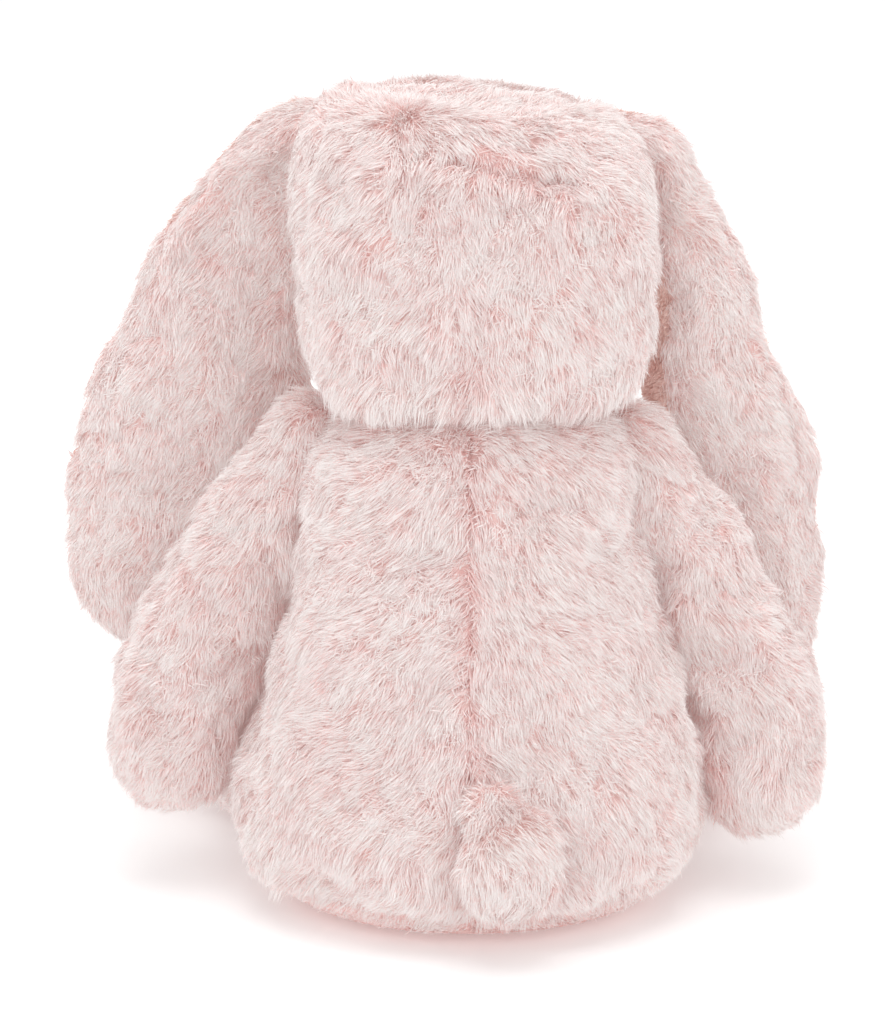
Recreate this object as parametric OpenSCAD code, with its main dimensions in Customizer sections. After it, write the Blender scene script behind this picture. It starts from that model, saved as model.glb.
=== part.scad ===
// A seated soft rabbit with lop ears, made of pile-fabric panels sewn round loose stuffing.
// Millimetres. The origin is the middle of the flat base where it meets the floor, +Z is up,
// the rabbit faces -Y and its own left side is +X.

/* [Body] */
// Radius of the body at its widest
body_r = 70; // [60:1:80]
// Thickness of the pile fabric, backing and pile together
skin_t = 6; // [4:0.5:8]
// Height at which the base panel is sewn to the body panels
base_seam_z = 12; // [8:1:16]
// Height of the middle of the neck joint
neck_z = 135; // [130:1:140]
// Radius of the rounded neck under the head
neck_r = 24; // [20:1:28]

/* [Head] */
// How far the middle of the head sits in front of the middle of the body
head_forward = 4; // [0:1:10]
// Radius of the muzzle
muzzle_r = 24; // [20:1:28]
// Width of the crown strip that runs over the top of the head
crown_w = 44; // [30:1:56]
// Height at which the crown strip is sewn across the front and the back of the head
crown_z = 217; // [210:1:228]
// Diameter of an eye
eye_d = 11; // [8:0.5:14]

/* [Ears] */
// Thickness of an ear, both layers
ear_t = 12; // [8:0.5:16]
// How far in front of the body's middle the ears hang
ear_forward = 38; // [36:1:40]
// Radius of the gathered root of an ear
ear_root_r = 13; // [10:0.5:14]

/* [Arms and legs] */
// Radius of an arm at the shoulder
arm_top_r = 14.5; // [12:0.5:16]
// Radius of an arm at the hand
arm_end_r = 18.5; // [16:0.5:20]
// Radius of a leg at the hip
leg_top_r = 20; // [18:0.5:21]
// Radius of a leg at the foot
leg_end_r = 22.5; // [20:0.5:24]
// Length of a leg from the middle of the hip to the sole
leg_len = 88; // [76:1:92]
// Angle of a leg outwards from straight ahead
leg_splay = 25; // [15:1:30]

/* [Filling] */
// Radius of the weighted pouch in the seat
pouch_r = 46; // [36:1:52]
// Height of the weighted pouch
pouch_h = 26; // [18:1:32]
// Thickness of the pouch cloth
pouch_t = 1.5; // [1:0.5:2]

/* [Fit] */
// Gap between pieces that turn against each other
gap = 0.4; // [0.3:0.05:0.6]

/* [Hidden] */
$fn = 96;
plush = [0.93, 0.83, 0.82];
lining = [0.90, 0.74, 0.70];
white = [0.96, 0.96, 0.94];
dark = [0.16, 0.10, 0.09];
thread = [0.80, 0.55, 0.54];
head_y = -head_forward;
muzzle_at = [0, head_y - 34, 184];
ear_root = [46, -ear_forward, 228];
ear_middle = [80, 145];
shoulder = [46, 2, 137];
hand = [89, 2, 36];
hip = [58, -52, leg_end_r];
tail_at = [-8, 68, 32];
tail_r = 15.5;
eye_turn = 26;
eye_z = 203;
big = 800;

// half outline of the body, [radius, height], from the base up to the neck
body_keys = [
  [58, 0], [66, 4], [body_r, 14], [body_r - 0.5, 34], [64.5, 60], [57, 90],
  [50, 115], [43, 132], [34, 143], [22, neck_z + sqrt(neck_r * neck_r - 22 * 22)]
];

// half outline of the head, [radius, height], from under the chin to the crown
head_keys = [
  [24, 152], [34, 155], [43, 162], [49.5, 173], [52, 189], [52, 207],
  [50.5, 223], [46, 235], [36, 242.5], [20, 246]
];

// outline of the left ear seen from behind, [sideways, height]
ear_keys = [
  [53, 238.5], [62, 229], [77, 206], [90, 181], [101, 157], [110, 132], [114.5, 107],
  [112.5, 86], [106, 71], [96, 64], [83, 69], [70, 86], [58, 110], [50, 140],
  [47.5, 168], [47.3, 195], [46.8, 212]
];

// a point on the smooth curve between b and c, with a and d as their neighbours
function between(a, b, c, d, t) =
  0.5 * (2 * b + (c - a) * t + (2 * a - 5 * b + 4 * c - d) * t * t
  + (3 * b - a - 3 * c + d) * t * t * t);

// smooth open curve through the points p, n steps to a span
function open_curve(p, n) = concat(
  [for (i = [0 : len(p) - 2], k = [0 : n - 1])
    between(p[max(i - 1, 0)], p[i], p[i + 1], p[min(i + 2, len(p) - 1)], k / n)],
  [p[len(p) - 1]]);

// smooth closed curve through the points p, n steps to a span
function closed_curve(p, n) = let (c = len(p))
  [for (i = [0 : c - 1], k = [0 : n - 1])
    between(p[(i + c - 1) % c], p[i], p[(i + 1) % c], p[(i + 2) % c], k / n)];

// points on an arc, by its middle, its radius and its two angles
function arc(middle, r, from, to, n) =
  [for (k = [0 : n]) let (a = from + (to - from) * k / n) middle + r * [cos(a), sin(a)]];

// a profile made thinner by t at the sides, the bottom and the top
function thinner(p, t, low, high, wide) =
  [for (q = p) [q[0] * (wide - t) / wide,
    low + t + (q[1] - low) * (high - low - 2 * t) / (high - low)]];

body_top = neck_z + neck_r;
neck_edge = asin(sqrt(neck_r * neck_r - 22 * 22) / neck_r);
body_profile = concat([[0, 0]], open_curve(body_keys, 2),
  arc([0, neck_z], neck_r, neck_edge + 12, 90, 5));
head_profile = concat([[0, 152]], open_curve(head_keys, 2), [[0, 247]]);

module turned(profile) rotate_extrude() polygon(profile);

module behind() translate([-big / 2, 0, -big / 2]) cube(big);

module left_half() translate([0, -big / 2, -big / 2]) cube(big);

module other_side() mirror([1, 0, 0]) children();

// ---- arms, upright with the shoulder at the origin ----

arm_run = hand - shoulder;
arm_len = norm(arm_run);
arm_lean = atan(arm_run[0] / -arm_run[2]);

module arm_place() translate(shoulder) rotate([0, -arm_lean, 0]) children();

module arm_solid(inset) turned(concat(
  arc([0, 0], arm_top_r - inset, 90, 0, 9),
  arc([0, -arm_len], arm_end_r - inset, 0, -90, 9)));

module arm_fabric() difference() {
  arm_solid(0);
  arm_solid(skin_t - 1);
}

module arm_back() color(plush) arm_place() intersection() {
  arm_fabric();
  behind();
}

module arm_front() color(plush) arm_place() difference() {
  arm_fabric();
  behind();
}

module arm_stuffing() color(white) arm_place() arm_solid(skin_t - 1);

// ---- legs, lying along -Y with the hip at the origin ----

module leg_place() translate(hip) rotate([0, 0, leg_splay]) rotate([90, 0, 0]) children();

module leg_solid(inset) turned(concat(
  arc([0, 0], leg_top_r - inset, -90, 0, 9),
  [[leg_top_r - 0.7 - inset, 22], [leg_end_r - inset, leg_len - 22]],
  arc([leg_end_r - 8, leg_len - 8], 8 - inset, 0, 90, 5),
  [[0, leg_len - inset]]));

module sole_zone() translate([0, 0, leg_len - skin_t + 1]) cylinder(h = skin_t, r = leg_end_r - 4);

module leg_fabric() difference() {
  leg_solid(0);
  leg_solid(skin_t - 1);
  sole_zone();
}

module leg_top() color(plush) leg_place() intersection() {
  leg_fabric();
  behind();
}

module leg_under() color(plush) leg_place() difference() {
  leg_fabric();
  behind();
}

module foot_sole() color(lining) leg_place() intersection() {
  leg_solid(0);
  sole_zone();
}

module leg_stuffing() color(white) leg_place() leg_solid(skin_t - 1);

// ---- ears, two flat layers, hanging in front of the arms ----

module ear_outline(size, root) {
  polygon([for (q = closed_curve(ear_keys, 2)) ear_middle + (q - ear_middle) * size]);
  translate([ear_root[0], ear_root[2]]) circle(r = root);
}

module ear_slab(front, back, size, root)
  translate([0, back, 0]) rotate([90, 0, 0]) linear_extrude(back - front) ear_outline(size, root);

module ear_back() color(plush) translate([0, -ear_forward, 0]) {
  ear_slab(0, ear_t / 4, 1, ear_root_r);
  ear_slab(ear_t / 4, ear_t / 2, 0.93, ear_root_r - 1.5);
}

module ear_lining() color(lining) translate([0, -ear_forward, 0]) {
  ear_slab(-ear_t / 4, 0, 1, ear_root_r);
  ear_slab(-ear_t / 2, -ear_t / 4, 0.93, ear_root_r - 1.5);
}

module ear_pocket() translate(ear_root) rotate([90, 0, 0])
  cylinder(h = ear_t + 2 * gap, r = ear_root_r + gap, center = true);

// ---- body ----

// the room the limbs need to turn in
module limb_room() for (side = [0, 1]) mirror([side, 0, 0]) {
  arm_place() arm_solid(-gap);
  translate(hip) sphere(leg_top_r + 2 * gap);
}

module body_solid() difference() {
  turned(body_profile);
  limb_room();
}

module body_core() difference() {
  turned(thinner(body_profile, skin_t, 0, body_top, body_r));
  limb_room();
}

module body_fabric() difference() {
  body_solid();
  body_core();
}

module above_base() translate([0, 0, base_seam_z]) cylinder(h = big, r = big);

module back_half_panel() intersection() {
  body_fabric();
  above_base();
  behind();
}

module back_panel_left() color(plush) intersection() {
  back_half_panel();
  left_half();
}

module back_panel_right() color(plush) difference() {
  back_half_panel();
  left_half();
}

module belly_panel() color(plush) difference() {
  intersection() {
    body_fabric();
    above_base();
  }
  behind();
}

module base_panel() color(plush) difference() {
  body_fabric();
  above_base();
}

module pouch(inset) translate([0, 0, skin_t + 2]) turned(concat(
  [[0, inset]],
  arc([pouch_r - pouch_h / 2, pouch_h / 2], pouch_h / 2 - inset, -90, 90, 8),
  [[0, pouch_h - inset]]));

module body_stuffing() color(white) difference() {
  body_core();
  pouch(0);
}

module bean_pouch() color(white) difference() {
  pouch(0);
  pouch(pouch_t);
}

module bean_fill() color([0.85, 0.84, 0.80]) pouch(pouch_t);

module tail_cover() color(plush) difference() {
  translate(tail_at) sphere(tail_r);
  translate(tail_at) sphere(tail_r - skin_t);
  turned(body_profile);
}

module tail_stuffing() color(white) difference() {
  translate(tail_at) sphere(tail_r - skin_t);
  turned(body_profile);
}

// ring of closing stitches that holds the head to the body
module neck_seam() color(thread) translate([0, 0, neck_z]) intersection() {
  difference() {
    sphere(neck_r + 3 - gap);
    sphere(neck_r + gap);
  }
  translate([0, 0, 14]) cylinder(h = 5, r = neck_r + 8);
}

// ---- head ----

module head_mass(inset) {
  translate([0, head_y, 0]) turned(inset > 0
    ? thinner(head_profile, inset, 152, 247, 52) : head_profile);
  translate(muzzle_at) sphere(muzzle_r - inset);
}

// the rabbit's own places on the skin where eyes, ears and neck are fitted
module head_openings() {
  translate([0, 0, neck_z]) sphere(neck_r + 3);
  for (side = [0, 1]) mirror([side, 0, 0]) {
    ear_pocket();
    eye_shape();
    washer_shape();
  }
}

module head_core() difference() {
  head_mass(skin_t);
  head_openings();
}

module head_fabric() difference() {
  head_mass(0);
  head_mass(skin_t);
  head_openings();
  nose_shape();
  mouth_shape();
}

module crown_zone() translate([-crown_w / 2, -big / 2, crown_z]) cube([crown_w, big, big]);

module head_back_half() difference() {
  intersection() {
    head_fabric();
    translate([0, head_y, 0]) behind();
  }
  crown_zone();
}

module head_back_left() color(plush) intersection() {
  head_back_half();
  left_half();
}

module head_back_right() color(plush) difference() {
  head_back_half();
  left_half();
}

module head_crown() color(plush) intersection() {
  head_fabric();
  crown_zone();
}

module face_half() difference() {
  head_fabric();
  translate([0, head_y, 0]) behind();
  crown_zone();
}

module face_left() color(plush) intersection() {
  face_half();
  left_half();
}

module face_right() color(plush) difference() {
  face_half();
  left_half();
}

module head_stuffing() color(white) head_core();

// axis of the left eye, pointing out of the face
module eye_place() translate([0, head_y, eye_z]) rotate([0, 0, eye_turn]) rotate([90, 0, 0])
  children();

module eye_shape() eye_place() {
  intersection() {
    translate([0, 0, 49.5]) scale([1, 1, 0.8]) sphere(d = eye_d);
    translate([0, 0, 49.5]) cylinder(h = eye_d, r = eye_d);
  }
  translate([0, 0, 38]) cylinder(h = 12, r = 1.6);
}

module washer_shape() eye_place() translate([0, 0, 43]) difference() {
  cylinder(h = 1.8, r = 6.5);
  translate([0, 0, -1]) cylinder(h = 4, r = 1.6);
}

module eye_left() color(dark) eye_shape();

module eye_washer_left() color(white) washer_shape();

// a rounded triangle of satin stitch, a little proud of the muzzle
module nose_shape() intersection() {
  difference() {
    translate(muzzle_at) sphere(muzzle_r + 1);
    translate(muzzle_at) sphere(muzzle_r - 1.5);
  }
  translate([0, muzzle_at[1], muzzle_at[2] + 9]) rotate([90, 0, 0]) linear_extrude(40)
    polygon([[-7, 4.5], [-5, 6], [5, 6], [7, 4.5], [6, 1], [1, -3.5], [-1, -3.5], [-6, 1]]);
}

module nose_stitching() color(thread) nose_shape();

module stitch_line(angle) rotate_extrude(angle = angle) translate([muzzle_r, 0]) circle(r = 0.9);

// a short stitched line down from the nose, and one out to each side
module mouth_shape() translate(muzzle_at) {
  rotate([0, 90, 0]) rotate([0, 0, -100]) stitch_line(18);
  for (side = [0, 1]) mirror([side, 0, 0]) rotate([11, 0, 0]) rotate([0, 0, -87]) stitch_line(16);
}

module mouth_stitching() color(thread) mouth_shape();

back_panel_left();
back_panel_right();
belly_panel();
base_panel();
body_stuffing();
bean_pouch();
bean_fill();
tail_cover();
tail_stuffing();
neck_seam();
head_back_left();
head_back_right();
head_crown();
face_left();
face_right();
head_stuffing();
eye_left();
other_side() eye_left();  // eye_right
eye_washer_left();
other_side() eye_washer_left();  // eye_washer_right
nose_stitching();
mouth_stitching();
ear_back();  // ear_back_left
ear_lining();  // ear_lining_left
other_side() ear_back();  // ear_back_right
other_side() ear_lining();  // ear_lining_right
arm_front();  // arm_front_left
arm_back();  // arm_back_left
arm_stuffing();  // arm_stuffing_left
other_side() arm_front();  // arm_front_right
other_side() arm_back();  // arm_back_right
other_side() arm_stuffing();  // arm_stuffing_right
leg_top();  // leg_top_left
leg_under();  // leg_under_left
foot_sole();  // foot_sole_left
leg_stuffing();  // leg_stuffing_left
other_side() leg_top();  // leg_top_right
other_side() leg_under();  // leg_under_right
other_side() foot_sole();  // foot_sole_right
other_side() leg_stuffing();  // leg_stuffing_right
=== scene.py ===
"""Looks of a seated plush rabbit with lop ears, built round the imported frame.

Every fabric panel is a thin cloth skin with a pile of combed strands standing on it. The skins are
lofted, plumped by cloth pressure with their seams held, cut into panels, and then the pile is sown.
Lengths in the tables are millimetres and become metres when a mesh is made.
"""
import math

import bpy
import numpy as np
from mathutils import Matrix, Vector
from mathutils.bvhtree import BVHTree


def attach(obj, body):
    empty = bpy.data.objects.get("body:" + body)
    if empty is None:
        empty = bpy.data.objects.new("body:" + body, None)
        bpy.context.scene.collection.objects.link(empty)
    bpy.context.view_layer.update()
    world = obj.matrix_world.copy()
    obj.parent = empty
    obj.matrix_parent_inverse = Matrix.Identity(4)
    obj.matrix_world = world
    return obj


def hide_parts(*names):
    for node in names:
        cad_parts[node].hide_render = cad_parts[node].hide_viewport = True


MM = 0.001
AROUND = 96          # points round a lofted skin
CLOTH_T = 0.8        # thickness of the backing cloth
MOST_TRIANGLES = 195000  # in one piece of pile
LEFT, RIGHT = 1, -1  # the rabbit's own sides: left is +X
HIP = (58, -52, 22.5)  # middle of the left hip
LEG_SPLAY = 25       # degrees that a leg turns out
SOLE_AT = 83.5       # from the hip to the flat of the sole

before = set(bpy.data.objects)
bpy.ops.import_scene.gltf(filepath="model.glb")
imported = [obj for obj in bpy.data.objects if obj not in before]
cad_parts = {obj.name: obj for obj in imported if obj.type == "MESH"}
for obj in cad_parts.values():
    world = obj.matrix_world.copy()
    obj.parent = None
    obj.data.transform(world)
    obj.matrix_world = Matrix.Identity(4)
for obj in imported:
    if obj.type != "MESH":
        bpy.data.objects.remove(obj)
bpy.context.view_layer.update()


# ---------------------------------------------------------------- numbers

def unit(v):
    return v / np.maximum(np.linalg.norm(v, axis=-1, keepdims=True), 1e-9)


def smooth(x, low, high):
    """0 below low, 1 above high, with a soft step between."""
    t = np.clip((x - low) / (high - low), 0, 1)
    return t * t * (3 - 2 * t)


def curve(keys, n):
    """n points along a smooth curve through the keys."""
    keys = np.array(keys, float)
    t = np.linspace(0, len(keys) - 1, n)
    i = np.minimum(t.astype(int), len(keys) - 2)
    f = (t - i)[:, None]
    a, b = keys[np.maximum(i - 1, 0)], keys[i]
    c, d = keys[i + 1], keys[np.minimum(i + 2, len(keys) - 1)]
    return 0.5 * (2 * b + (c - a) * f + (2 * a - 5 * b + 4 * c - d) * f ** 2
                  + (3 * b - a - 3 * c + d) * f ** 3)


def ripple(p, size, seed, waves=9):
    """Smooth noise near -1 to 1 at points p, in mm, with lumps about size mm across."""
    rng = np.random.default_rng(seed)
    total = np.zeros(len(p))
    for way in unit(rng.normal(size=(waves, 3))):
        k = 2 * math.pi / (size * rng.uniform(1.3, 2.8))
        total += np.sin(p @ way * k + rng.uniform(0, 2 * math.pi))
    return total / math.sqrt(waves / 2) * 0.7


# ---------------------------------------------------------------- materials

def principled(name, colour, roughness, **more):
    """A plain shader. more holds values for its other sockets, with _ for a space."""
    mat = bpy.data.materials.new(name)
    mat.use_nodes = True
    shader = mat.node_tree.nodes["Principled BSDF"]
    shader.inputs["Base Color"].default_value = (*colour, 1)
    shader.inputs["Roughness"].default_value = roughness
    for socket, value in more.items():
        shader.inputs[socket.replace("_", " ")].default_value = value
    return mat


def mottled(name, low, high, roughness, scale, bump, fine=2600.0, **more):
    """Cloth whose colour drifts between two shades, with a fine raised grain."""
    mat = principled(name, low, roughness, **more)
    nodes, links = mat.node_tree.nodes, mat.node_tree.links
    shader = nodes["Principled BSDF"]
    place = nodes.new("ShaderNodeTexCoord")
    drift = nodes.new("ShaderNodeTexNoise")
    drift.inputs["Scale"].default_value = scale
    drift.inputs["Detail"].default_value = 6
    ramp = nodes.new("ShaderNodeValToRGB")
    ramp.color_ramp.elements[0].position = 0.32
    ramp.color_ramp.elements[0].color = (*low, 1)
    ramp.color_ramp.elements[1].position = 0.68
    ramp.color_ramp.elements[1].color = (*high, 1)
    grain = nodes.new("ShaderNodeTexNoise")
    grain.inputs["Scale"].default_value = fine
    lift = nodes.new("ShaderNodeBump")
    lift.inputs["Strength"].default_value = bump
    lift.inputs["Distance"].default_value = 0.0004
    links.new(place.outputs["Object"], drift.inputs["Vector"])
    links.new(place.outputs["Object"], grain.inputs["Vector"])
    links.new(drift.outputs["Fac"], ramp.inputs["Fac"])
    links.new(ramp.outputs["Color"], shader.inputs["Base Color"])
    links.new(grain.outputs["Fac"], lift.inputs["Height"])
    links.new(lift.outputs["Normal"], shader.inputs["Normal"])
    return mat


PLUSH_CLOTH = mottled("plush_cloth", (0.86, 0.58, 0.55), (0.88, 0.65, 0.62), 0.9, 90, 0.6)
LINING_CLOTH = mottled("lining_cloth", (0.82, 0.54, 0.48), (0.86, 0.62, 0.56), 0.85, 120, 0.7)
FIBRE_FILL = mottled("fibre_fill", (0.86, 0.86, 0.84), (0.93, 0.93, 0.91), 0.95, 160, 1.0, 1200.0)
POUCH_CLOTH = mottled("pouch_cloth", (0.80, 0.79, 0.76), (0.86, 0.85, 0.82), 0.9, 60, 0.8)
BEAN_PLASTIC = mottled("bean_plastic", (0.66, 0.65, 0.60), (0.78, 0.77, 0.73), 0.5, 300, 0.2)
WASHER_PLASTIC = mottled("washer_plastic", (0.80, 0.80, 0.78), (0.86, 0.86, 0.84), 0.5, 200, 0.2)
EYE_PLASTIC = mottled("eye_plastic", (0.012, 0.006, 0.005), (0.030, 0.014, 0.010), 0.12, 500, 0.02,
                      Coat_Weight=0.6, Coat_Roughness=0.05)
THREAD = mottled("thread", (0.50, 0.20, 0.20), (0.62, 0.28, 0.27), 0.5, 500, 0.5, 5000.0)


def strand_colour_with_painted_glow(name, colour, glow):
    """A dull fibre. Its faint glow is painted light, standing for light that has come through the pile
    behind it.
    """
    return principled(name, colour, 0.9, Specular_IOR_Level=0.2, Emission_Color=(1, 0.78, 0.75, 1),
                      Emission_Strength=glow)


# the pile, in four neighbouring colours from deep to pale: the roots are deeper and the tips paler as
# painted shade down in the pile, and which colour a strand gets mixes random tone with painted shade
ROOTS = [strand_colour_with_painted_glow(f"pile_root_{i}", c, 0.06) for i, c in enumerate(
    [(0.86, 0.61, 0.585), (0.875, 0.68, 0.66), (0.88, 0.725, 0.705), (0.89, 0.77, 0.75)])]
TIPS = [strand_colour_with_painted_glow(f"pile_tip_{i}", c, 0.06) for i, c in enumerate(
    [(0.875, 0.75, 0.735), (0.88, 0.81, 0.80), (0.885, 0.84, 0.83), (0.89, 0.865, 0.855)])]
NAP = [strand_colour_with_painted_glow(f"nap_{i}", c, 0.04) for i, c in enumerate(
    [(0.84, 0.56, 0.50), (0.86, 0.62, 0.56), (0.88, 0.67, 0.61), (0.90, 0.72, 0.66)])]


# ---------------------------------------------------------------- meshes

def new_object(name, verts, faces, materials):
    """A smooth-shaded mesh object from points in metres."""
    mesh = bpy.data.meshes.new(name)
    mesh.from_pydata(np.asarray(verts).tolist(), [], [list(map(int, f)) for f in faces])
    for mat in materials:
        mesh.materials.append(mat)
    mesh.shade_smooth()
    obj = bpy.data.objects.new(name, mesh)
    bpy.context.scene.collection.objects.link(obj)
    return obj


def ring_faces(rows, around=AROUND):
    """Quads between rings of points, and a fan at each end to a pole that follows the rings."""
    faces = []
    for r in range(rows - 1):
        a, b = r * around, (r + 1) * around
        for k in range(around):
            j = (k + 1) % around
            faces.append((a + k, a + j, b + j, b + k))
    low, high, last = rows * around, rows * around + 1, (rows - 1) * around
    for k in range(around):
        j = (k + 1) % around
        faces.append((low, j, k))
        faces.append((high, last + k, last + j))
    return faces


def loft(centres, across, along, wide, tone_and_painted_shade, power=2.0):
    """Points of rings round the centres, then the two poles. across and along are the ring's axes,
    and a power above 2 makes the ring squarer."""
    turn = np.linspace(0, 2 * math.pi, AROUND, endpoint=False)
    c, s = np.cos(turn), np.sin(turn)
    c = np.sign(c) * np.abs(c) ** (2 / power)
    s = np.sign(s) * np.abs(s) ** (2 / power)
    rings = (centres[:, None, :] + (wide[:, None] * c)[..., None] * across[:, None, :]
             + (tone_and_painted_shade[:, None] * s)[..., None] * along[:, None, :])
    return np.concatenate([rings.reshape(-1, 3), centres[:1], centres[-1:]])


def turned_points(keys, rows, power=2.0, middle=(0, 0), depth=1.0):
    """Loft of an upright body from [radius, height] keys."""
    path = curve(keys, rows)
    n = len(path)
    centres = np.column_stack([np.full(n, middle[0]), np.full(n, middle[1]), path[:, 1]])
    across = np.tile([1.0, 0, 0], (n, 1))
    along = np.tile([0, 1.0, 0], (n, 1))
    radius = np.maximum(path[:, 0], 0.3)
    return loft(centres, across, along, radius, radius * depth, power)


def tube_points(keys, rows, flat=1.0):
    """Loft along a limb from [x, y, z, radius] keys, with round ends."""
    path = curve(keys, 200)
    gone = np.concatenate([[0], np.cumsum(np.linalg.norm(np.diff(path[:, :3], axis=0), axis=1))])
    r0, r1, length = path[0, 3], path[-1, 3], gone[-1]
    at = np.linspace(0, 1, rows)
    at = (1 - np.cos(at * math.pi)) / 2 * (length + r0 * 0.98 + r1 * 0.98) - r0 * 0.98
    centre = np.column_stack([np.interp(at, gone, path[:, k]) for k in range(3)])
    radius = np.interp(at, gone, path[:, 3])
    start, end = unit(path[1, :3] - path[0, :3]), unit(path[-1, :3] - path[-2, :3])
    before, after = at < 0, at > length
    centre[before] = path[0, :3] + start * at[before, None]
    radius[before] = np.sqrt(np.maximum(r0 ** 2 - at[before] ** 2, 0.05))
    centre[after] = path[-1, :3] + end * (at[after] - length)[:, None]
    radius[after] = np.sqrt(np.maximum(r1 ** 2 - (at[after] - length) ** 2, 0.05))
    way = unit(np.gradient(centre, axis=0))
    across = unit(np.cross(np.array([0, 1.0, 0]), way))
    along = np.cross(way, across)
    return loft(centre, across, along, radius, radius * flat)


def triangles(faces):
    """Each face cut into a fan of triangles."""
    return np.array([(f[0], f[k], f[k + 1]) for f in faces for k in range(1, len(f) - 1)])


class Skin:
    """A closed skin of rings and two poles: points in mm, faces, and a normal at each point."""

    def __init__(self, points, rows, around=AROUND):
        self.points, self.rows, self.around = points, rows, around
        self.faces = ring_faces(rows, around)
        self.tris = triangles(self.faces)
        self.find_normals()

    def find_normals(self):
        p = self.points[self.tris]
        face = np.cross(p[:, 1] - p[:, 0], p[:, 2] - p[:, 0])
        total = np.zeros_like(self.points)
        for k in range(3):
            np.add.at(total, self.tris[:, k], face)
        self.normals = unit(total)
        inwards = ((self.points - self.points.mean(0)) * self.normals).sum() < 0
        if inwards:
            self.normals = -self.normals
            self.faces = [tuple(reversed(f)) for f in self.faces]
            self.tris = self.tris[:, ::-1]

    def push(self, amount):
        """Moves each point out along its normal, by one amount or one per point."""
        self.points = self.points + self.normals * np.reshape(amount, (-1, 1))
        self.find_normals()

    def part(self, wanted):
        """The skin's faces whose middle the test wants, as a skin of their own."""
        middles = np.array([self.points[list(f)].mean(0) for f in self.faces])
        chosen = [f for f, w in zip(self.faces, wanted(middles)) if w]
        used = sorted({i for f in chosen for i in f})
        place = {old: new for new, old in enumerate(used)}
        piece = object.__new__(Skin)
        piece.points, piece.normals = self.points[used], self.normals[used]
        piece.faces = [tuple(place[i] for i in f) for f in chosen]
        piece.tris = triangles(piece.faces)
        return piece


def cloth_panel(name, skin, body, node, material):
    """The panel as real cloth with a thickness, in place of its CAD node."""
    obj = new_object(name, skin.points * MM, skin.faces, [material])
    solid = obj.modifiers.new("thickness", "SOLIDIFY")
    solid.thickness, solid.offset = CLOTH_T * MM, -1
    solid.use_even_offset = False
    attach(obj, body)
    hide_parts(node)
    return obj


# ---------------------------------------------------------------- pile

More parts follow.
